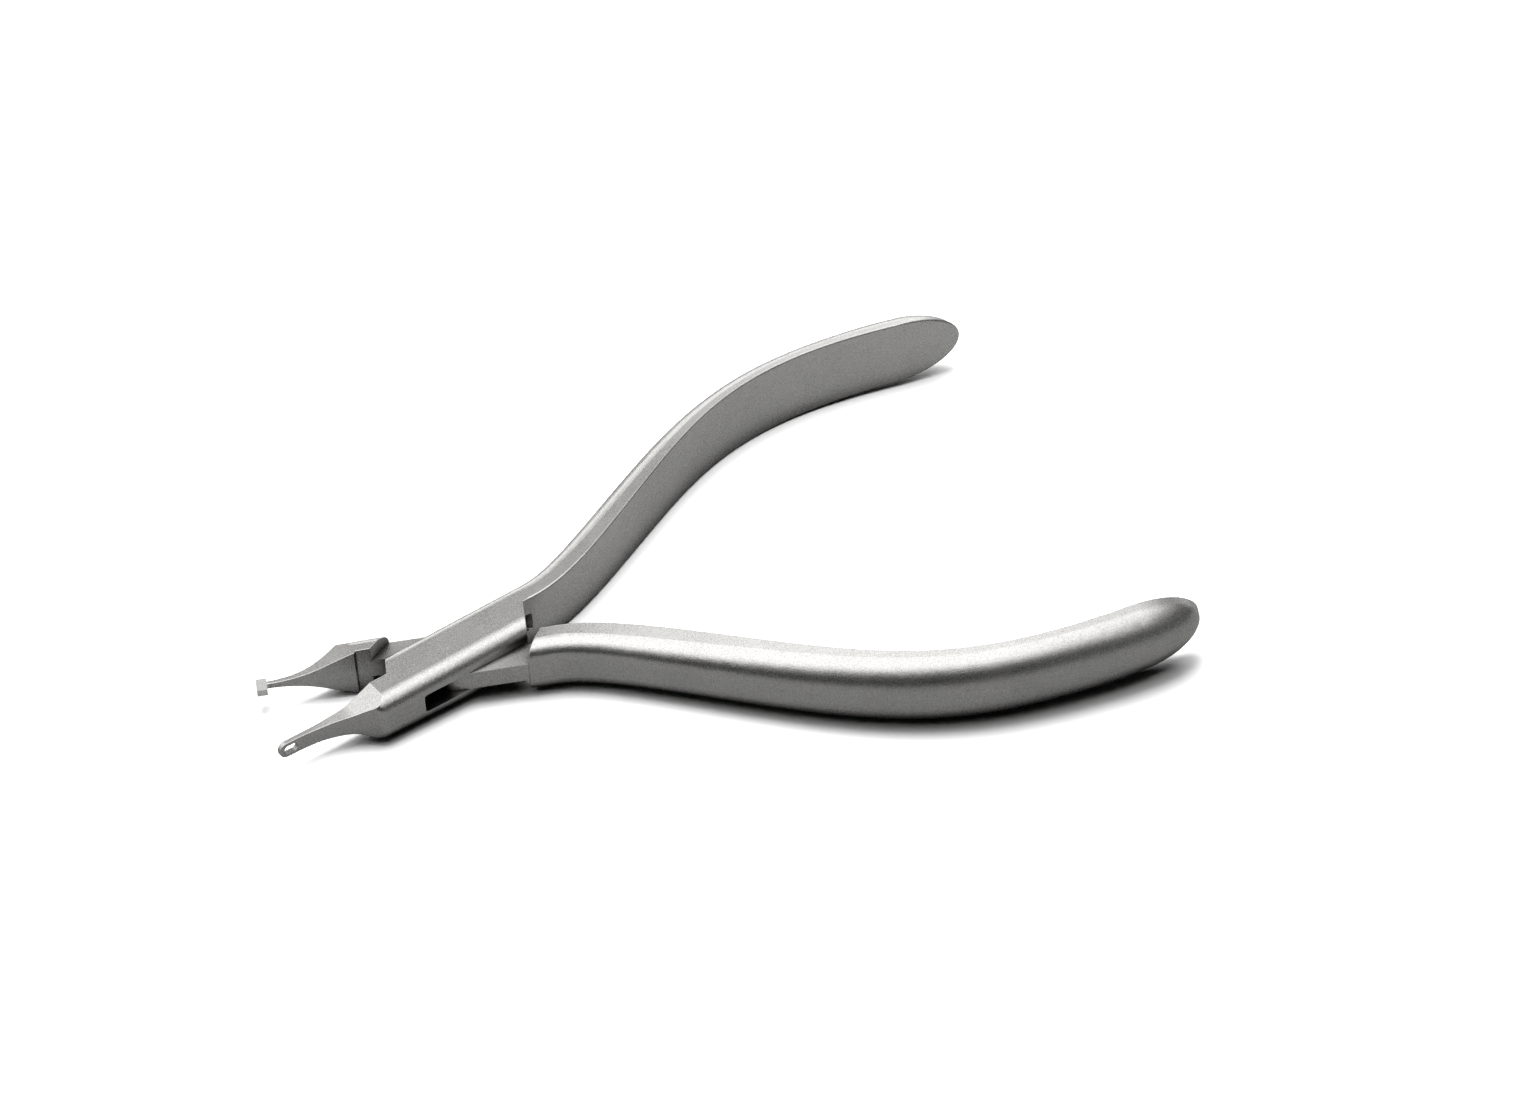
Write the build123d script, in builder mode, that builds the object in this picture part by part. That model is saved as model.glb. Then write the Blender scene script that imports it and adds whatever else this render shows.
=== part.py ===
from build123d import *
import os
from math import atan, cos, hypot, pi, radians, sin, tan

# Box-joint crimping pliers, lying flat with the jaws towards -X and the handles towards +X.
# Each half is modelled closed, with the pivot at the origin and the mid-plane at z = 0.
# The last section turns both halves to the open rest pose and sets them on their frame:
# origin on the pivot axis, on the outer face of the lower cheek, +Z up.

# ---------------------------------------------------------------- driving dimensions (mm)
HALF_OPEN = 13.2            # turn of each half from closed to the rest pose, degrees

BAR_WIDTH = 9.2             # width of the joint across the jaws' parting plane
BAR_HEEL_HEIGHT = 7.6       # thickness of the joint where the jaws begin
BAR_ROOT_HEIGHT = 8.9       # thickness of the joint where the handles begin
BAR_CORNER = 2.4            # rolled long edges of the joint
HEEL_X = -14.4              # start of the jaws' tapering faces
ROOT_X = 13.0               # start of the handles

PARTING = 0.6               # the jaws meet this far to the upper handle's side of the pivot
JAW_GAP = 0.05              # each jaw's inner face stands this far off the parting plane
HANDLE_INNER = 0.3          # each handle's inner face at its root, off the centreline

SLOT_THICKNESS = 3.1        # slot between the two cheeks
TONGUE_CLEARANCE = 0.05     # running gap between the tongue and each cheek
TONGUE_INSET = 0.15         # tongue's side faces inside the joint's side faces
SLOT_CORNER = 0.4           # milled corners of the slot's end walls

PIN_RADIUS = 2.0            # pivot pin, pressed through both cheeks and ground flush
PIN_RUNNING_GAP = 0.03      # radial gap between the pin and the tongue's eye

EDGE_BREAK = 0.12           # small radius on the forgings' other edges
SHARP_ANGLE = 34            # edges that turn by more than this are rounded, degrees

SHOULDER_GAP = 0.25         # gap between a cheek's end and the other half's shoulder, closed
CHEEK_REAR_SETBACK = (0.9, 3.6)     # cheeks' handle end, back from ROOT_X: inner corner, side
CHEEK_FRONT_X = (-11.1, -9.6, -8.2) # cheeks' jaw end: parting plane, knee, side face
CHEEK_KNEE = 0.7            # share of the half width where that end bends
LOBE_X = (-11.9, -8.8)      # foot jaw's shoulder facing it: relief face, side face
SLOT_WALL_X = (-13.8, -8.3) # end wall of the slot: parting plane, side face
TONGUE_OVERLAP = 1.1        # tongue runs on into the solid of the foot jaw

JAW_LENGTH = 29.4           # from the pivot to the end of the slotted blade
LOOP_BLADE_HEIGHT = 2.5     # height of the slotted blade
LOOP_BLADE_THICKNESS = 0.8  # thickness of the slotted blade
LOOP_LENGTH = 2.2           # slot through the blade
LOOP_HEIGHT = 1.4
SLOT_SETBACK = 1.8          # middle of the foot and of its slot, back from the blade's end
FOOT_LENGTH = 1.5           # foot on the other jaw, along the jaw
FOOT_REACH = 1.2            # how far the foot stands out past its jaw
FOOT_HEIGHT = 1.1           # thickness of the foot
RELIEF_DEPTH = 0.5          # relief in the foot jaw behind its working face
RELIEF_X = -14.2            # ridge where the relief starts
RELIEF_RAMP = 0.3           # length of the step down into the relief

# Taper of the jaws: how far along from the heel (0) to the tip (1), and the share left there
# of the joint's half width (sides) or half thickness (faces).
BOX_JAW_SIDE = ((0.10, 0.80), (0.42, 0.26))
BOX_JAW_FACES = ((0.21, 0.55), (0.40, 0.40))
BOX_JAW_SLOPE = 0.5         # rise over run of the slotted jaw's upper face at the heel
HEEL_ROUND = 0.2            # radius where the slotted jaw's hollowed side starts, a share of
                            # the joint's thickness there
HEEL_REACH = 0.5            # how far in from the joint's side that edge's middle may lie
BLADE_FROM = 0.68           # where the slotted jaw has thinned to its blade
BLADE_FLARE = 0.2           # extra thickness left where the blade begins
FOOT_JAW_SIDE = ((0.165, 0.87), (0.45, 0.457), (0.69, 0.326))
FOOT_JAW_FACES = ((0.23, 0.66), (0.46, 0.34), (0.69, 0.165))
FOOT_JAW_TIP = 0.65         # thickness of the foot jaw at its tip

GRIP_WIDTHS = (4.3, 5.1, 4.7, 5.1)       # handle across, at equal steps from root to end
GRIP_HEIGHTS = (BAR_ROOT_HEIGHT, 10.7, 11.9, 11.7)   # handle thickness at the same steps
GRIP_END_LENGTH = 11.6      # length of the handle's rounded end
GRIP_EDGE = 0.3             # small radius on the handle's inner edges
GRIP_CROWN = 11.0           # slope of the grip's top down from its inner edge, degrees
GRIP_CROWN_RISE = 8         # how soon after the root the top has that slope
GRIP_FLAT_TOP = 0.6         # straight part beside the inner edge, on the grip
GRIP_FLAT_SIDE = 0.4        # half of the flat along the outer side, on the grip
GRIP_STATIONS = 9           # sections that shape each handle

# Inner face of the upper handle in plan, from its root to where its rounded end begins.
GRIP_LINE = (
    (ROOT_X, HANDLE_INNER),
    (28.0, 3.9),
    (47.5, 12.75),
    (65.5, 18.4),
    (80.5, 18.55),
    (95.0, 15.35),
)
GRIP_END_DIRECTION = (0.97, -0.23)

# ---------------------------------------------------------------- values that follow
HALF_WIDTH = BAR_WIDTH / 2
BOX_JAW_FACE = PARTING - JAW_GAP        # inner face of the slotted jaw
FOOT_JAW_FACE = PARTING + JAW_GAP       # inner face of the foot jaw
RELIEF_FACE = FOOT_JAW_FACE + RELIEF_DEPTH
TIP_HALF_HEIGHT = LOOP_BLADE_HEIGHT / 2
TONGUE_THICKNESS = SLOT_THICKNESS - 2 * TONGUE_CLEARANCE
TONGUE_HALF_WIDTH = HALF_WIDTH - TONGUE_INSET
LOOP_TIP_X = -JAW_LENGTH
FOOT_X = LOOP_TIP_X + SLOT_SETBACK
FOOT_TIP_X = FOOT_X - FOOT_LENGTH / 2
BEYOND = HALF_WIDTH + 1.5   # cutting outlines reach past the joint: sideways,
ABOVE = BAR_ROOT_HEIGHT     # upward from the mid-plane,
LEFT = LOOP_TIP_X - 1       # past the jaws' ends,
RIGHT = ROOT_X + 1          # and past the handles' roots


def bar_height(x):
    """Thickness of the joint at x, a straight taper from the handles to the jaws."""
    slope = (BAR_ROOT_HEIGHT - BAR_HEEL_HEIGHT) / (ROOT_X - HEEL_X)
    return BAR_HEEL_HEIGHT + slope * (x - HEEL_X)


def jaw_points(taper, half_size):
    """Outline points of a tapering jaw from shares of its length and of half_size."""
    length = FOOT_TIP_X - HEEL_X
    return [(HEEL_X + along * length, left * half_size) for along, left in taper]


def reach(start, through, y):
    """Point where the line from start through a second point crosses the given y."""
    share = (y - start[1]) / (through[1] - start[1])
    return (start[0] + share * (through[0] - start[0]), y)


def shifted(line, distance):
    """A two-point line moved sideways by distance, to the right of its direction."""
    (x1, y1), (x2, y2) = line
    length = hypot(x2 - x1, y2 - y1)
    dx, dy = (y2 - y1) / length * distance, -(x2 - x1) / length * distance
    return (x1 + dx, y1 + dy), (x2 + dx, y2 + dy)


def sharp_edges(part):
    """Edges of a forging that turn clearly, but for those at the root, where the handle joins."""
    beside = {}
    for face in part.faces():
        for edge in face.edges():
            beside.setdefault(edge, []).append(face)
    found = ShapeList()
    for edge, faces in beside.items():
        middle = edge @ 0.5
        turn = faces[0].normal_at(middle).get_angle(faces[-1].normal_at(middle))
        if turn > SHARP_ANGLE and middle.X < ROOT_X - EDGE_BREAK:
            found.append(edge)
    return found


def between(values, t):
    """Smooth curve through four values at equal steps, read at t from 0 to 1."""
    total = 0
    for i, value in enumerate(values):
        weight = 1
        for j in range(len(values)):
            if j != i:
                weight *= (t * 3 - j) / (i - j)
        total += weight * value
    return total


# The handle-side end of the cheeks, from its inner corner out to the side face.
CHEEK_REAR = (
    (ROOT_X - CHEEK_REAR_SETBACK[0], HANDLE_INNER),
    (ROOT_X - CHEEK_REAR_SETBACK[1], -HALF_WIDTH),
)
SHOULDER = shifted(CHEEK_REAR, -SHOULDER_GAP)
# The jaw-side end of the cheeks, and the shoulder of the foot jaw that faces it.
CHEEK_FRONT = tuple(zip(CHEEK_FRONT_X, (BOX_JAW_FACE, CHEEK_KNEE * HALF_WIDTH, HALF_WIDTH)))
LOBE = tuple(zip(LOBE_X, (RELIEF_FACE, HALF_WIDTH)))
# End walls of the slot: from the parting plane out to the side face.
SLOT_WALL = tuple(zip(SLOT_WALL_X, (0, -HALF_WIDTH)))

# ---------------------------------------------------------------- bar shared by both halves
with BuildPart() as bar:
    for x in (LEFT, ROOT_X):
        with BuildSketch(Plane.YZ.offset(x)):
            RectangleRounded(BAR_WIDTH, bar_height(x), BAR_CORNER)
    loft()

# ---------------------------------------------------------------- handle, flat inside, round outside
with BuildLine() as grip_path:
    Spline(GRIP_LINE, tangents=((1, 0), GRIP_END_DIRECTION))


def grip_plane(t):
    """Plane across the handle: x out of its inner face, y up, z along the handle."""
    along = grip_path.line % t
    return Plane(origin=grip_path.line @ t, x_dir=(-along.Y, along.X, 0), z_dir=along)


def grip_size(t):
    """Width, half thickness, corner and top slope of the handle's section at t."""
    width = between(GRIP_WIDTHS, t)
    half = between(GRIP_HEIGHTS, t) / 2
    root = (1 - t) ** 3
    corner_x = root * BAR_CORNER + (1 - root) * (width - GRIP_FLAT_TOP)
    flat_side = root * (half - BAR_CORNER) + (1 - root) * GRIP_FLAT_SIDE
    slope = radians(GRIP_CROWN) * (1 - (1 - t) ** GRIP_CROWN_RISE)
    return width, half, corner_x, flat_side, slope


def upper_outline(width, half, corner_x, flat_side, slope):
    """Upper half of the section's outline, from the inner face to the outer side."""
    top_x = GRIP_EDGE * (1 - sin(slope))
    top_y = half - GRIP_EDGE * (1 - cos(slope))
    # The corner is part of an ellipse that starts with the top's slope and ends upright.
    corner_y = top_y - flat_side
    for _ in range(3):
        turn = atan(corner_x / corner_y * tan(slope))
        start_x = width - corner_x * (1 - sin(turn))
        start_y = top_y - (start_x - top_x) * tan(slope)
        corner_y = (start_y - flat_side) / cos(turn)
    angle = 90 - turn * 180 / pi
    Line((0, 0), (0, half - GRIP_EDGE))
    CenterArc((GRIP_EDGE, half - GRIP_EDGE), GRIP_EDGE, 180, slope * 180 / pi - 90)
    Line((top_x, top_y), (start_x, start_y))
    EllipticalCenterArc((width - corner_x, flat_side), corner_x, corner_y, 0, arc_size=angle)
    Line((width, flat_side), (width, 0))


with BuildPart() as grip:
    for step in range(GRIP_STATIONS):
        station = step / (GRIP_STATIONS - 1)
        with BuildSketch(grip_plane(station)):
            with BuildLine():
                upper_outline(*grip_size(station))
                mirror(about=Plane.XZ)
            make_face()
    loft()

with BuildPart() as grip_end:
    with BuildSketch():
        with BuildLine():
            upper_outline(*grip_size(1))
            Line((grip_size(1)[0], 0), (0, 0))
        make_face()
    revolve(axis=Axis.X, revolution_arc=180)
    scale(by=(1, 1, GRIP_END_LENGTH / grip_size(1)[1]))

with BuildPart() as handle:
    add(grip.part)
    with Locations(grip_plane(1).location):
        add(grip_end.part)

# ---------------------------------------------------------------- slot through the box half
with BuildPart() as slot_space:
    with BuildSketch():
        with BuildLine():
            wall_mouth = reach(*SLOT_WALL, -BEYOND)
            wall_end = SLOT_WALL[0]
            Polyline(
                wall_mouth,
                wall_end,
                (wall_end[0], BEYOND),
                (-wall_mouth[0], BEYOND),
                (-wall_end[0], 0),
                (-wall_end[0], -BEYOND),
                close=True,
            )
        make_face()
    extrude(amount=SLOT_THICKNESS / 2, both=True)
    wall_length = hypot(wall_mouth[0] - wall_end[0], wall_mouth[1] - wall_end[1])
    end_edges = slot_space.edges().filter_by(lambda edge: abs(edge.length - wall_length) < 0.01)
    fillet(end_edges, SLOT_CORNER)

# ---------------------------------------------------------------- box half, closed
with BuildPart() as box_closed:
    add(bar.part)
    # Space of the other jaw, and the jaw-side end of the cheeks.
    with BuildSketch():
        with BuildLine():
            Polyline(
                (LEFT, BOX_JAW_FACE),
                CHEEK_FRONT[0],
                CHEEK_FRONT[1],
                reach(CHEEK_FRONT[1], CHEEK_FRONT[2], BEYOND),
                (LEFT, BEYOND),
                close=True,
            )
        make_face()
    extrude(amount=ABOVE, both=True, mode=Mode.SUBTRACT)
    # Handle-side end of the cheeks.
    with BuildSketch():
        with BuildLine():
            Polyline(
                CHEEK_REAR[0],
                reach(*CHEEK_REAR, -BEYOND),
                (RIGHT, -BEYOND),
                (RIGHT, HANDLE_INNER),
                close=True,
            )
        make_face()
    extrude(amount=ABOVE, both=True, mode=Mode.SUBTRACT)
    # Hollowed outer side of the jaw, down to the thin blade.
    with BuildSketch():
        with BuildLine():
            blade_side = BOX_JAW_FACE - LOOP_BLADE_THICKNESS
            blade_from = HEEL_X + BLADE_FROM * (FOOT_TIP_X - HEEL_X)
            side_start = (HEEL_X, -BEYOND)
            Spline(
                side_start,
                *jaw_points(BOX_JAW_SIDE, -HALF_WIDTH),
                (blade_from, blade_side - BLADE_FLARE),
                (LEFT, blade_side),
            )
            Polyline((LEFT, blade_side), (LEFT, -BEYOND), side_start)
        make_face()
    extrude(amount=ABOVE, both=True, mode=Mode.SUBTRACT)
    # Upper and lower faces of the jaw, with the rounded end of the blade.
    with BuildSketch(Plane.XZ):
        with BuildLine():
            waist, neck = jaw_points(BOX_JAW_FACES, BAR_HEEL_HEIGHT / 2)
            slope_top = (waist[0] + (ABOVE - waist[1]) / BOX_JAW_SLOPE, ABOVE)
            blade_end = LOOP_TIP_X + TIP_HALF_HEIGHT
            Polyline((RIGHT, 0), (RIGHT, ABOVE), slope_top, waist)
            Spline(
                waist,
                neck,
                (blade_from, TIP_HALF_HEIGHT),
                tangents=((-1, -BOX_JAW_SLOPE), (-1, 0)),
            )
            Line((blade_from, TIP_HALF_HEIGHT), (blade_end, TIP_HALF_HEIGHT))
            CenterArc((blade_end, 0), TIP_HALF_HEIGHT, 90, 90)
            mirror(about=Plane.XZ)
        make_face()
    extrude(amount=BEYOND, both=True, mode=Mode.INTERSECT)
    # Round where the hollowed side meets the joint's side, then the smaller edges.
    heel_radius = HEEL_ROUND * BAR_HEEL_HEIGHT
    heel_edges = box_closed.edges().filter_by(
        lambda edge: abs((edge @ 0.5).Y + HALF_WIDTH) < HEEL_REACH
        and abs((edge @ 0.5).X - HEEL_X) < heel_radius
    )
    fillet(heel_edges, heel_radius)
    fillet(sharp_edges(box_closed.part), EDGE_BREAK)
    add(handle.part)
    add(slot_space.part, mode=Mode.SUBTRACT)
    # Slot in the blade for the other jaw's foot.
    with BuildSketch(Plane.XZ):
        with Locations((FOOT_X, 0)):
            SlotOverall(LOOP_LENGTH, LOOP_HEIGHT)
    extrude(amount=BEYOND, both=True, mode=Mode.SUBTRACT)
    Hole(PIN_RADIUS)

# ---------------------------------------------------------------- tongue half, closed
with BuildPart() as tongue_closed:
    add(bar.part)
    # What stays full height: the foot jaw and the root of the lower handle.
    with BuildSketch():
        with BuildLine():
            side_start = (HEEL_X, BEYOND)
            side_end = (FOOT_TIP_X, FOOT_JAW_FACE + FOOT_JAW_TIP)
            Polyline(
                side_end,
                (FOOT_TIP_X, FOOT_JAW_FACE),
                (RELIEF_X, FOOT_JAW_FACE),
                (RELIEF_X + RELIEF_RAMP, RELIEF_FACE),
                LOBE[0],
                reach(*LOBE, BEYOND),
                side_start,
            )
            Spline(side_start, *jaw_points(FOOT_JAW_SIDE, HALF_WIDTH), side_end)
        make_face()
        with BuildLine():
            Polyline(
                (SHOULDER[0][0], -HANDLE_INNER),
                reach(*SHOULDER, -BEYOND),
                (RIGHT, -BEYOND),
                (RIGHT, -HANDLE_INNER),
                close=True,
            )
        make_face()
    extrude(amount=ABOVE, both=True, mode=Mode.INTERSECT)
    # Upper and lower faces of the foot jaw.
    with BuildSketch(Plane.XZ):
        with BuildLine():
            heel = (HEEL_X, bar_height(HEEL_X) / 2)
            tip = (FOOT_TIP_X, FOOT_HEIGHT / 2)
            Polyline((RIGHT, 0), (RIGHT, ABOVE), (HEEL_X, ABOVE), heel)
            Spline(heel, *jaw_points(FOOT_JAW_FACES, BAR_HEEL_HEIGHT / 2), tip)
            Line(tip, (FOOT_TIP_X, 0))
            mirror(about=Plane.XZ)
        make_face()
    extrude(amount=BEYOND, both=True, mode=Mode.INTERSECT)
    fillet(sharp_edges(tongue_closed.part), EDGE_BREAK)
    # Tongue: a round eye about the pivot, with a band to the jaw and a band to the handle.
    with BuildSketch():
        Circle(TONGUE_HALF_WIDTH)
        band_start = LOBE_X[0] - TONGUE_OVERLAP
        with BuildLine():
            Polyline(
                (0, RELIEF_FACE),
                (band_start, RELIEF_FACE),
                (band_start, TONGUE_HALF_WIDTH),
                (0, TONGUE_HALF_WIDTH),
                close=True,
            )
        make_face()
        with BuildLine():
            Polyline(
                (0, -HANDLE_INNER),
                (ROOT_X, -HANDLE_INNER),
                (ROOT_X, -TONGUE_HALF_WIDTH),
                (0, -TONGUE_HALF_WIDTH),
                close=True,
            )
        make_face()
    extrude(amount=TONGUE_THICKNESS / 2, both=True)
    mirror(handle.part, about=Plane.XZ)
    # Foot, which enters the slot of the other jaw's blade.
    with BuildSketch():
        with Locations((FOOT_X, FOOT_JAW_FACE)):
            Rectangle(FOOT_LENGTH, 2 * FOOT_REACH)
    extrude(amount=FOOT_HEIGHT / 2, both=True)
    Hole(PIN_RADIUS + PIN_RUNNING_GAP)

# ---------------------------------------------------------------- pivot pin, ground flush
with BuildPart() as pin_closed:
    Cylinder(PIN_RADIUS, 2 * ABOVE)
    add(bar.part, mode=Mode.INTERSECT)

# ---------------------------------------------------------------- the pieces, open, in their frame
UP = bar_height(0) / 2

with BuildPart() as box_half:
    with Locations(Location((0, 0, UP), (0, 0, HALF_OPEN))):
        add(box_closed.part)

with BuildPart() as tongue_half:
    with Locations(Location((0, 0, UP), (0, 0, -HALF_OPEN))):
        add(tongue_closed.part)

with BuildPart() as pivot_pin:
    with Locations(Location((0, 0, UP), (0, 0, HALF_OPEN))):
        add(pin_closed.part)

box_half.part.label = "box_half"
tongue_half.part.label = "tongue_half"
pivot_pin.part.label = "pivot_pin"

os.makedirs("parts", exist_ok=True)
export_step(box_half.part, "parts/box_half.step")
export_step(tongue_half.part, "parts/tongue_half.step")
export_step(pivot_pin.part, "parts/pivot_pin.step")
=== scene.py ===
"""Looks of the box-joint crimping pliers: satin steel finishes, a soft studio and a camera."""

import logging
from dataclasses import dataclass, field
from enum import Enum
from math import pi, radians

import bpy
from mathutils import Matrix, Vector


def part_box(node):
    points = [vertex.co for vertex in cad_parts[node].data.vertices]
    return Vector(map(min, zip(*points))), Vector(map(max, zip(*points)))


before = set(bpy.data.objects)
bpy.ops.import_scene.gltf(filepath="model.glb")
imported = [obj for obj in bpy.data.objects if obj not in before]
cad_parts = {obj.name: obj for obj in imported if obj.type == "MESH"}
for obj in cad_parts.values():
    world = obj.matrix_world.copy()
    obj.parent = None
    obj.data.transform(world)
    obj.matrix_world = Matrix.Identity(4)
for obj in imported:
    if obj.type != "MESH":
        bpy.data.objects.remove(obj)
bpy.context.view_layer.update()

LOG = logging.getLogger("pliers")
MM = 0.001

Number = float | int
Colour = tuple[float, float, float]


class Shade:
    """A value that varies over a surface: a node's output socket that takes part in maths."""

    def __init__(self, graph: "Graph", socket: bpy.types.NodeSocket) -> None:
        """Wrap a socket.

        Args:
            graph: The node graph that the socket is in.
            socket: The output to wrap.
        """
        self.graph = graph
        self.socket = socket

    def _with(self, operation: str, *others: "Shade | Number") -> "Shade":
        """Add one Math node.

        Args:
            operation: The Math node's operation.
            others: The node's further inputs.

        Returns:
            The node's output.
        """
        inputs = dict(enumerate((self, *others)))
        return self.graph.value("ShaderNodeMath", {"operation": operation}, inputs)

    def __add__(self, other: "Shade | Number") -> "Shade":
        """Sum."""
        return self._with("ADD", other)

    __radd__ = __add__

    def __sub__(self, other: "Shade | Number") -> "Shade":
        """Difference."""
        return self._with("SUBTRACT", other)

    def __rsub__(self, other: Number) -> "Shade":
        """Difference from a number."""
        return self.graph.value("ShaderNodeMath", {"operation": "SUBTRACT"}, {0: other, 1: self})

    def __mul__(self, other: "Shade | Number") -> "Shade":
        """Product."""
        return self._with("MULTIPLY", other)

    __rmul__ = __mul__

    def __truediv__(self, other: "Shade | Number") -> "Shade":
        """Quotient."""
        return self._with("DIVIDE", other)

    def __abs__(self) -> "Shade":
        """Distance from nought."""
        return self._with("ABSOLUTE")

    def sine(self) -> "Shade":
        """Sine of the value in radians."""
        return self._with("SINE")

    def root(self) -> "Shade":
        """Square root."""
        return self._with("SQRT")

    def angle_to(self, across: "Shade") -> "Shade":
        """Angle of the direction with this height and that run."""
        return self._with("ARCTAN2", across)

    def rise(self, start: Number, end: Number) -> "Shade":
        """A smooth step.

        Args:
            start: Where it is 0.
            end: Where it is 1, on either side of start.

        Returns:
            The step, from 0 to 1.
        """
        settings = {"interpolation_type": "SMOOTHSTEP"}
        inputs = {"Value": self, "From Min": min(start, end), "From Max": max(start, end)}
        step = self.graph.value("ShaderNodeMapRange", settings, inputs)
        return step if start < end else 1 - step


class Graph:
    """A material's or a world's nodes, added one by one."""

    def __init__(self, tree: bpy.types.NodeTree) -> None:
        """Start from an empty tree.

        Args:
            tree: The node tree to fill.
        """
        self.tree = tree
        tree.nodes.clear()

    def node(
        self, kind: str, settings: dict | None = None, inputs: dict | None = None
    ) -> bpy.types.Node:
        """Add a node.

        Args:
            kind: The node's type.
            settings: Its properties, set before its sockets. A ramp's "stops" are (place, colour).
            inputs: Values or links of its sockets, by name or number.

        Returns:
            The new node.
        """
        made = self.tree.nodes.new(kind)
        for name, value in (settings or {}).items():
            if name == "stops":
                ramp = made.color_ramp
                while len(ramp.elements) < len(value):
                    ramp.elements.new(1.0)
                for element, (place, colour) in zip(ramp.elements, value):
                    element.position = place
                    element.color = (*colour, 1.0)
            else:
                setattr(made, name, value)
        for name, value in (inputs or {}).items():
            if isinstance(value, Shade):
                self.tree.links.new(value.socket, made.inputs[name])
            elif isinstance(value, bpy.types.NodeSocket):
                self.tree.links.new(value, made.inputs[name])
            else:
                made.inputs[name].default_value = value
        return made

    def value(
        self,
        kind: str,
        settings: dict | None = None,
        inputs: dict | None = None,
        output: str | int = 0,
    ) -> Shade:
        """Add a node and take one output.

        Args:
            kind: The node's type.
            settings: Its properties.
            inputs: Values or links of its sockets.
            output: The output's name or number.

        Returns:
            That output.
        """
        return Shade(self, self.node(kind, settings, inputs).outputs[output])

    def parts(self, vector: Shade) -> tuple[Shade, Shade, Shade]:
        """Split a vector.

        Args:
            vector: The vector to split.

        Returns:
            Its x, y and z.
        """
        split = self.node("ShaderNodeSeparateXYZ", None, {0: vector})
        return tuple(Shade(self, socket) for socket in split.outputs)

    def noise(
        self, place: Shade, scale: Number, detail: Number = 2.0, roughness: Number = 0.5
    ) -> Shade:
        """A cloudy pattern from 0 to 1.

        Args:
            place: The coordinates.
            scale: Spots per unit of length.
            detail: How many finer layers it has.
            roughness: How strong the finer layers are.

        Returns:
            The pattern.
        """
        inputs = {"Vector": place, "Scale": scale, "Detail": detail, "Roughness": roughness}
        return self.value("ShaderNodeTexNoise", None, inputs, "Fac")

    def blend(
        self, share: Shade | Number, first: Shade | Colour, second: Shade | Colour
    ) -> Shade:
        """Mix two colours.

        Args:
            share: How much of the second.
            first: A colour or a link.
            second: A colour or a link.

        Returns:
            The mixed colour.
        """
        sockets = {}
        for number, colour in ((6, first), (7, second)):
            sockets[number] = colour if isinstance(colour, Shade) else (*colour, 1.0)
        return self.value("ShaderNodeMix", {"data_type": "RGBA"}, {0: share, **sockets}, 2)


class Tooling(Enum):
    """The marks that machining leaves under the blasted finish."""

    NONE = 0
    ARCS = 1
    PLANING = 2


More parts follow.
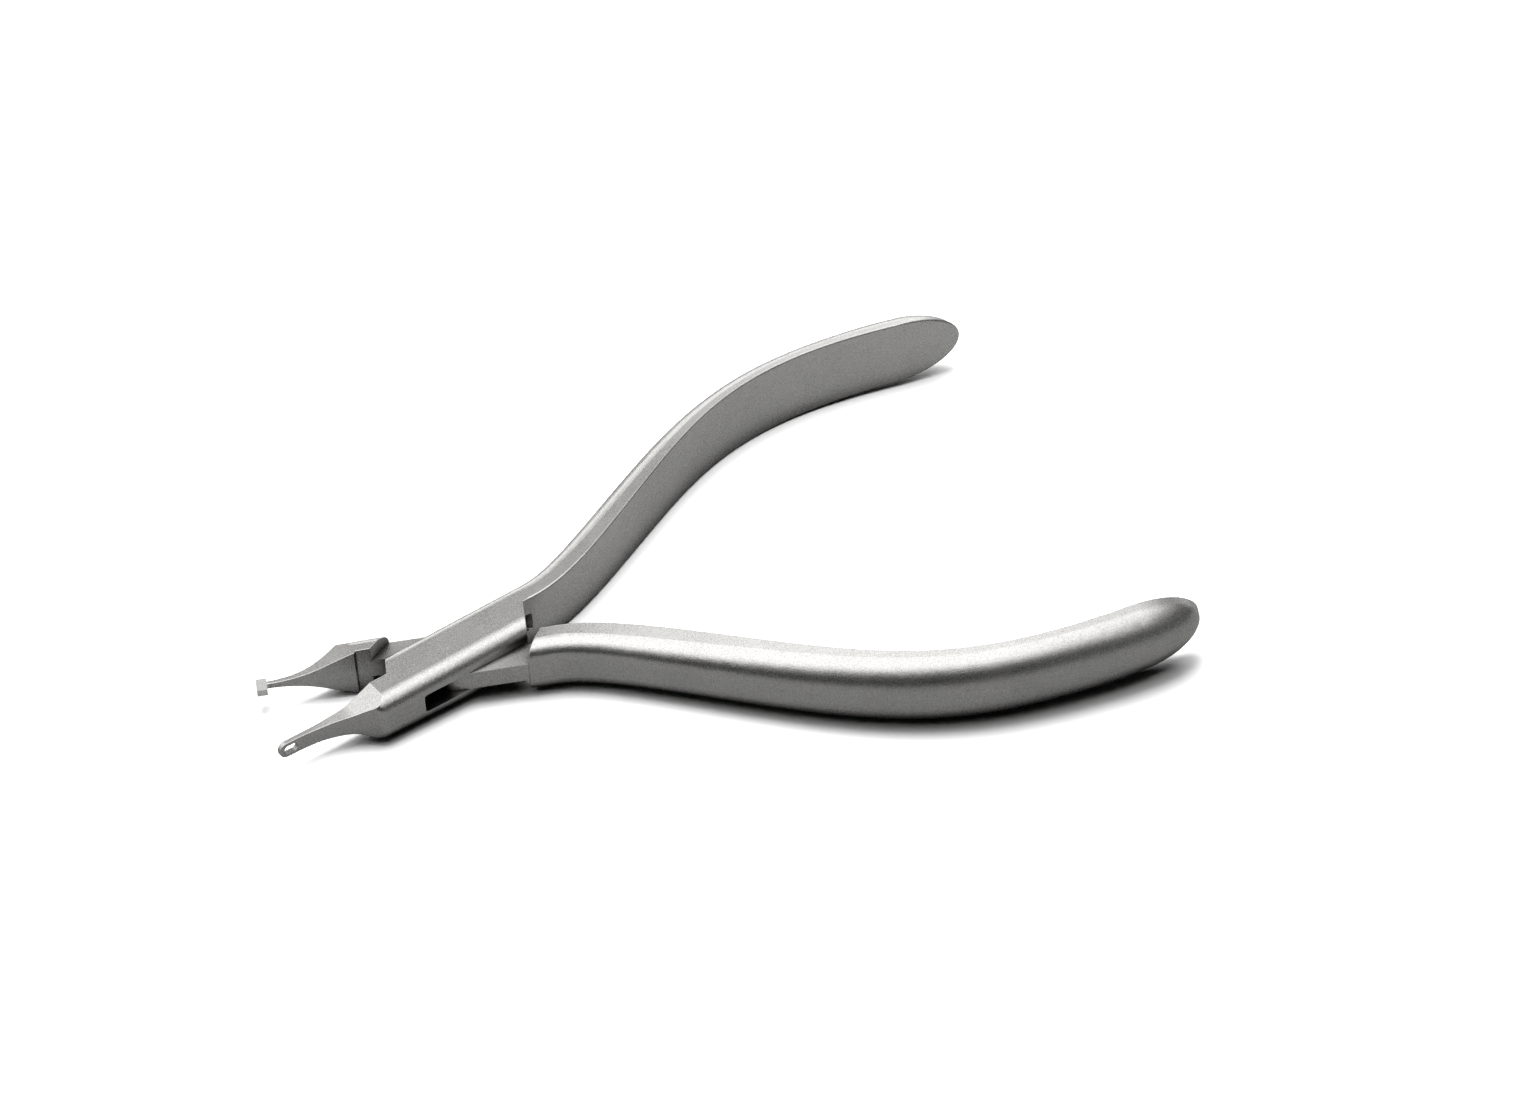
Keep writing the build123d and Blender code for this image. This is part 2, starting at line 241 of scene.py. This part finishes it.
@dataclass(frozen=True)
class SatinSteel:
    """Fine glass-bead blasted stainless steel, brushed along the handles.

    Attributes:
        name: The material's name.
        turn: How far the half is turned about the pivot from its closed place, in radians.
        mid_height: Height of the joint's mid-plane, in metres.
        tooling: Which machining marks it has.
        light: The steel's lighter colour.
        dark: The steel's darker colour.
        worn_and_highlight: The colour of edges: partly real wear, partly a painted highlight along
            the edge.
        polished_and_sheen: The tip's lighter colour: partly real polish, partly a painted sheen.
        painted_shade: The painted shade deep in recesses, in the slot and low down near the floor.
        tone_shares: How much of the tone is grain, cloud and brushing.
        tone_range: The sums that give the darker and the lighter colour.
        roughness: The roughness that it varies about.
        grain_per_mm: How fine the blasted grain is.
        grain_depth_mm: How deep the grain is.
        brushing_depth_mm: How deep the brushed lines are.
        clouds_per_mm: How fine the cloudy stains are.
        edge_mm: How far the worn and painted-highlight colour reaches from an edge.
        edge_wear_and_highlight: How much of that colour, wear and painted highlight, an edge has.
        recess_mm: How near a neighbour brings painted shade into a recess.
        recess_range: How open to the air it is where the painted shade is full and where there is
            none.
        polished_from_mm: Where the polished tip starts, along the half.
        tip_polish_and_sheen: How much of the polished, painted-sheen colour the tip has.
        mark_depth_mm: How deep the machining marks are.
        arc_step_mm: From one turned arc to the next.
        planing_step_mm: From one planed line to the next.
        working_face_mm: Where the jaw's working face is, across the half.
        ridge_mm: Where the foot jaw's working face ends, along the half.
        tongue_mm: How far the tongue's flats are from the mid-plane, at most.
    """

    name: str
    turn: float = 0.0
    mid_height: float = 0.0
    tooling: Tooling = Tooling.NONE
    light: Colour = (0.665, 0.66, 0.65)
    dark: Colour = (0.45, 0.443, 0.43)
    worn_and_highlight: Colour = (0.78, 0.775, 0.765)
    polished_and_sheen: Colour = (0.80, 0.795, 0.785)
    painted_shade: Colour = (0.035, 0.033, 0.03)
    tone_shares: tuple[float, float, float] = (0.75, 0.15, 0.10)
    tone_range: tuple[float, float] = (0.36, 0.64)
    roughness: float = 0.28
    grain_per_mm: float = 5.5
    grain_depth_mm: float = 0.016
    brushing_depth_mm: float = 0.004
    clouds_per_mm: float = 0.11
    edge_mm: float = 0.16
    edge_wear_and_highlight: float = 0.55
    recess_mm: float = 5.0
    recess_range: tuple[float, float] = (0.26, 0.92)
    polished_from_mm: float = -50.0
    tip_polish_and_sheen: float = 0.9
    mark_depth_mm: float = 0.0035
    arc_step_mm: float = 0.34
    planing_step_mm: float = 0.27
    working_face_mm: float = 0.65
    ridge_mm: float = -13.9
    tongue_mm: float = 1.56

    def _place(self, graph: Graph) -> Shade:
        """Coordinates in mm, turned with the half so that x runs along it, z from its middle."""
        place = graph.value("ShaderNodeTexCoord", output="Object")
        inputs = {
            "Vector": place,
            "Scale": (1 / MM, 1 / MM, 1 / MM),
            "Rotation": (0.0, 0.0, -self.turn),
            "Location": (0.0, 0.0, -self.mid_height / MM),
        }
        return graph.value("ShaderNodeMapping", {"vector_type": "POINT"}, inputs)

    def _lines(self, graph: Graph, place: Shade) -> Shade:
        """Height of the machining marks, in mm.

        Args:
            graph: The material's nodes.
            place: The coordinates in mm.

        Returns:
            The height, 0 where there are no marks.
        """
        x, y, z = graph.parts(place)
        flat = abs(graph.parts(graph.value("ShaderNodeNewGeometry", output="True Normal"))[2])
        working = abs(y - self.working_face_mm).rise(0.10, 0.05) * flat.rise(0.3, 0.1)
        along = x * (2 * pi / self.planing_step_mm)
        if self.tooling is Tooling.PLANING:
            planed = (along + graph.noise(place, 0.35, 1.0) * 2.0).sine()
            return planed * self.mark_depth_mm * working
        outward = (x * x + y * y).root() * (2 * pi / self.arc_step_mm)
        arcs = (outward + graph.noise(place, 0.7) * 3.0).sine()
        tongue = flat.rise(0.90, 0.97) * abs(z).rise(self.tongue_mm + 0.04, self.tongue_mm)
        planed = (along + graph.noise(place, 0.5) * 2.0).sine()
        jaw = working * x.rise(self.ridge_mm, self.ridge_mm - 0.3)
        return (arcs * tongue + planed * jaw) * self.mark_depth_mm

    def material(self) -> bpy.types.Material:
        """Make the finish.

        Returns:
            The material.
        """
        made = bpy.data.materials.new(self.name)
        made.use_nodes = True
        graph = Graph(made.node_tree)
        place = self._place(graph)
        grain = graph.noise(place, self.grain_per_mm, 3.0, 0.6)
        cloud = graph.noise(place, self.clouds_per_mm, 3.0, 0.55)
        along = {"Vector": place, "Scale": (0.12, 3.0, 3.0)}
        brushing = graph.noise(graph.value("ShaderNodeMapping", None, along), 1.3, 2.0, 0.6)
        edge = self._edge(graph)
        height = grain * self.grain_depth_mm + brushing * self.brushing_depth_mm
        if self.tooling is not Tooling.NONE:
            height = height + self._lines(graph, place)
        of_grain, of_cloud, of_brushing = self.tone_shares
        tone = grain * of_grain + cloud * of_cloud + brushing * of_brushing
        tone = tone.rise(*self.tone_range)
        # Painted shade: ambient occlusion darkens the colour in recesses, in the slot and on the
        # sides near the floor.
        reach = {"Distance": self.recess_mm * MM}
        open_air = graph.value("ShaderNodeAmbientOcclusion", {"samples": 8}, reach, "AO")
        open_air = open_air.rise(*self.recess_range)
        tip = graph.parts(place)[0].rise(self.polished_from_mm, self.polished_from_mm - 0.5)
        steel = graph.blend(open_air, self.painted_shade, graph.blend(tone, self.dark, self.light))
        # Edges get a lighter colour: partly real wear, partly a painted highlight for the glint on
        # rounded edges.
        steel = graph.blend(edge * open_air * self.edge_wear_and_highlight, steel, self.worn_and_highlight)
        # The tip is lighter: partly real polish, partly a painted sheen for its bright reflection.
        steel = graph.blend(tip * self.tip_polish_and_sheen, steel, self.polished_and_sheen)
        rough = self.roughness + (cloud - 0.5) * 0.10 + (grain - 0.5) * 0.10
        rough = rough - edge * 0.08 - tip * 0.06
        relief = {"Height": height * MM, "Distance": 1.0, "Strength": 1.0}
        bump = graph.value("ShaderNodeBump", None, relief)
        inputs = {"Base Color": steel, "Roughness": rough, "Normal": bump}
        # Less metallic at the tip, so its lighter colour shows as a painted sheen under the lamps.
        inputs["Metallic"] = 1 - tip * 0.12
        shader = graph.node("ShaderNodeBsdfPrincipled", None, inputs)
        graph.node("ShaderNodeOutputMaterial", None, {"Surface": shader.outputs[0]})
        return made

    def _edge(self, graph: Graph) -> Shade:
        """How far a point is on an edge, where wear and a painted highlight go.

        Args:
            graph: The material's nodes.

        Returns:
            0 on a face, rising to 1 on an edge.
        """
        rounded = graph.value("ShaderNodeBevel", {"samples": 6}, {"Radius": self.edge_mm * MM})
        facing = graph.value("ShaderNodeNewGeometry", output="True Normal")
        product = {"operation": "DOT_PRODUCT"}
        likeness = graph.value("ShaderNodeVectorMath", product, {0: rounded, 1: facing}, "Value")
        return likeness.rise(0.985, 0.80)


@dataclass
class SteelPiece:
    """One forged or turned piece of the pliers, kept from the frame and given its finish."""

    node: str
    finish: SatinSteel

    def dress(self) -> None:
        """Put the finish on the piece."""
        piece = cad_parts[self.node]
        piece.data.materials.clear()
        piece.data.materials.append(self.finish.material())
        LOG.info("%s dressed with %s", self.node, self.finish.name)


@dataclass
class Pliers:
    """The two halves and the pin that joins them.

    Attributes:
        half_open: How far each half is turned from its closed place, in radians.
        foot_from_mm: Where the foot starts, along the tongue half.
        pieces: The three pieces, each with its finish.
    """

    half_open: float = radians(13.2)
    foot_from_mm: float = -26.4
    pieces: tuple[SteelPiece, ...] = field(init=False)

    def build(self) -> None:
        """Work out the joint's middle height and name each piece's finish."""
        low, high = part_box("pivot_pin")
        middle = (low[2] + high[2]) / 2
        box = SatinSteel(
            "satin_steel_box",
            self.half_open,
            middle,
            Tooling.PLANING,
            mark_depth_mm=0.0025,
            working_face_mm=0.55,
        )
        tongue = SatinSteel(
            "satin_steel_tongue",
            -self.half_open,
            middle,
            Tooling.ARCS,
            polished_from_mm=self.foot_from_mm,
        )
        pin = SatinSteel("pin_steel", self.half_open, middle)
        self.pieces = (
            SteelPiece("box_half", box),
            SteelPiece("tongue_half", tongue),
            SteelPiece("pivot_pin", pin),
        )

    def dress(self) -> None:
        """Give every piece its finish."""
        for piece in self.pieces:
            piece.dress()


@dataclass
class Camera:
    """The camera: where it stands, which way it looks and how long its lens is.

    Attributes:
        place_mm: Where it stands.
        azimuth: Which way it looks, in degrees about the vertical.
        elevation: How far down it looks, in degrees.
        roll: Its turn about its own axis, in degrees.
        lens_mm: The lens's focal length.
        sensor_mm: The sensor's width.
        clip: The nearest and farthest that it sees, in metres.
    """

    place_mm: tuple[float, float, float] = (-89.9, -302.0, 297.2)
    azimuth: float = -24.52
    elevation: float = 41.30
    roll: float = -0.84
    lens_mm: float = 71.04
    sensor_mm: float = 36.0
    clip: tuple[float, float] = (0.01, 20.0)

    def build(self) -> None:
        """Create the camera and make it the scene's."""
        data = bpy.data.cameras.new("camera")
        data.lens = self.lens_mm
        data.sensor_width = self.sensor_mm
        data.sensor_fit = "HORIZONTAL"
        data.clip_start, data.clip_end = self.clip
        camera = bpy.data.objects.new("camera", data)
        bpy.context.collection.objects.link(camera)
        turn = (
            Matrix.Rotation(radians(self.azimuth), 4, "Z")
            @ Matrix.Rotation(radians(90 - self.elevation), 4, "X")
            @ Matrix.Rotation(radians(self.roll), 4, "Z")
        )
        camera.matrix_world = Matrix.Translation(Vector(self.place_mm) * MM) @ turn
        bpy.context.scene.camera = camera
        LOG.info("camera at %s mm", self.place_mm)


@dataclass
class Studio:
    """A pale floor that the pliers lie on, the light from above, and the room around.

    Sizes are in metres. Over the room, 0 degrees is the horizon behind the pliers, 90 is straight
    up and 180 is the horizon in front of them.

    Attributes:
        facing: Which way the camera looks, in radians about the vertical.
        aim: What the lights point at.
        light_height: How high the lights hang.
        key: The small light's side, watts, and place to the right of the pliers and behind them.
        fill: The same of the wide light.
        floor_size: The floor's side.
        floor_slope: How much the floor falls towards the handles, which are thicker.
        floor_gap: From the floor to the lowest point.
        floor_albedo: How pale the floor is.
        floor_mirrored: How pale its mirror image is, in front of the pliers and behind: painted
            shade.
        mirrored_from: Where the first of these ends and where the second starts.
        mirrored_lean: How much the line between the two leans.
        room: How bright the room is at each number of degrees.
        room_below: How bright it is under the horizon behind.
        room_right: How bright it is to the right.
        right_from: How far to the right that starts and is full, as a share of a direction.
        room_left: How bright it is to the left.
        left_from: How far to the right that starts and is full.
        room_seen: How bright it looks in the background.
        room_peak: The brightness that the room's colours are shares of.
    """

    facing: float = radians(-24.52)
    aim: tuple[float, float, float] = (0.04, 0.0, 0.0)
    light_height: float = 0.62
    key: tuple[float, float, float, float] = (0.30, 4.5, -0.05, 0.08)
    fill: tuple[float, float, float, float] = (1.1, 8.2, -0.10, 0.15)
    floor_size: float = 8.0
    floor_slope: float = 0.0235
    floor_gap: float = 0.00002
    floor_albedo: float = 0.90
    floor_mirrored: tuple[float, float] = (0.165, 0.225)
    mirrored_from: tuple[float, float] = (-0.010, 0.025)
    mirrored_lean: float = 0.3
    room: tuple[tuple[int, float], ...] = (
        (0, 2.00), (14, 1.75), (22, 1.05), (30, 0.42), (42, 0.36), (50, 0.68), (60, 1.44),
        (70, 1.85), (118, 1.85), (130, 1.15), (141, 0.24), (152, 0.05), (180, 0.03),
    )
    room_below: float = 0.75
    room_right: float = 0.125
    right_from: tuple[float, float] = (0.35, 0.90)
    room_left: float = 0.90
    left_from: tuple[float, float] = (-0.55, -0.95)
    room_seen: float = 1.0
    room_peak: float = 2.5

    def build(self) -> None:
        """Make the floor, the lights and the room."""
        bpy.context.scene.view_settings.view_transform = "Standard"
        self._floor()
        self._light("key", *self.key)
        self._light("fill", *self.fill)
        self._room()
        LOG.info("studio with %d lights", len(bpy.data.lights))

    def _floor(self) -> None:
        """A plane under the pliers, tilted so that the handles and the joint rest on it."""
        lowest = min(
            vertex.co.z + self.floor_slope * vertex.co.x
            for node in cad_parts.values()
            for vertex in node.data.vertices
        )
        bpy.ops.object.select_all(action="DESELECT")
        bpy.ops.mesh.primitive_plane_add(size=self.floor_size)
        floor = bpy.context.object
        floor.name = "floor"
        for vertex in floor.data.vertices:
            vertex.co.z = lowest - self.floor_gap - self.floor_slope * vertex.co.x
        made = bpy.data.materials.new("floor")
        made.use_nodes = True
        graph = Graph(made.node_tree)
        # Painted shade: glossy rays see a darker floor than the camera does, paler behind than in
        # front.
        mirrored = graph.value("ShaderNodeLightPath", output="Is Glossy Ray")
        x, y, _ = graph.parts(graph.value("ShaderNodeTexCoord", output="Object"))
        behind = (y + x * self.mirrored_lean).rise(*self.mirrored_from)
        front, back = ((share,) * 3 for share in self.floor_mirrored)
        dim = graph.blend(behind, front, back)
        pale = graph.blend(mirrored, (self.floor_albedo,) * 3, dim)
        diffuse = graph.node("ShaderNodeBsdfDiffuse", None, {"Color": pale})
        graph.node("ShaderNodeOutputMaterial", None, {"Surface": diffuse.outputs[0]})
        floor.data.materials.append(made)

    def _light(self, name: str, size: float, watts: float, right: float, behind: float) -> None:
        """A square light above the pliers.

        Args:
            name: The light's name.
            size: Its side.
            watts: Its power.
            right: How far it stands to the right of the pliers.
            behind: How far it stands behind them.
        """
        data = bpy.data.lights.new(name, "AREA")
        data.shape = "SQUARE"
        data.size = size
        data.energy = watts
        light = bpy.data.objects.new(name, data)
        bpy.context.collection.objects.link(light)
        aim = Vector(self.aim)
        offset = Vector((right, behind, self.light_height))
        light.location = aim + Matrix.Rotation(self.facing, 3, "Z") @ offset
        light.rotation_euler = (aim - light.location).to_track_quat("-Z", "Y").to_euler()
        light.visible_glossy = False

    def _room(self) -> None:
        """The light from each direction: bright overhead, and dark low down in front."""
        world = bpy.data.worlds.new("room")
        bpy.context.scene.world = world
        world.use_nodes = True
        graph = Graph(world.node_tree)
        look = graph.value("ShaderNodeTexCoord", output="Generated")
        turn = {"Vector": look, "Rotation": (0.0, 0.0, -self.facing)}
        side, back, up = graph.parts(graph.value("ShaderNodeMapping", None, turn))
        over = up.angle_to(back) / (2 * pi) + 0.5
        stops = [(0.0, self._grey(self.room_below))]
        stops += [((degrees + 180) / 360, self._grey(level)) for degrees, level in self.room]
        room = graph.value("ShaderNodeValToRGB", {"stops": stops}, {0: over})
        room = graph.blend(side.rise(*self.right_from), room, self._grey(self.room_right))
        room = graph.blend(side.rise(*self.left_from), room, self._grey(self.room_left))
        seen = graph.value("ShaderNodeLightPath", output="Is Camera Ray")
        room = graph.blend(seen, room, self._grey(self.room_seen))
        light = {"Color": room, "Strength": self.room_peak}
        shader = graph.node("ShaderNodeBackground", None, light)
        graph.node("ShaderNodeOutputWorld", None, {"Surface": shader.outputs[0]})
        world.cycles_visibility.diffuse = False

    def _grey(self, level: float) -> Colour:
        """A grey for the room.

        Args:
            level: How bright it is.

        Returns:
            The colour, as a share of the room's peak.
        """
        return (level / self.room_peak,) * 3


def main() -> None:
    """Build everything in order."""
    logging.basicConfig(level=logging.INFO, format="%(message)s")
    Camera().build()
    pliers = Pliers()
    pliers.build()
    pliers.dress()
    Studio().build()


if __name__ == "__main__":
    main()
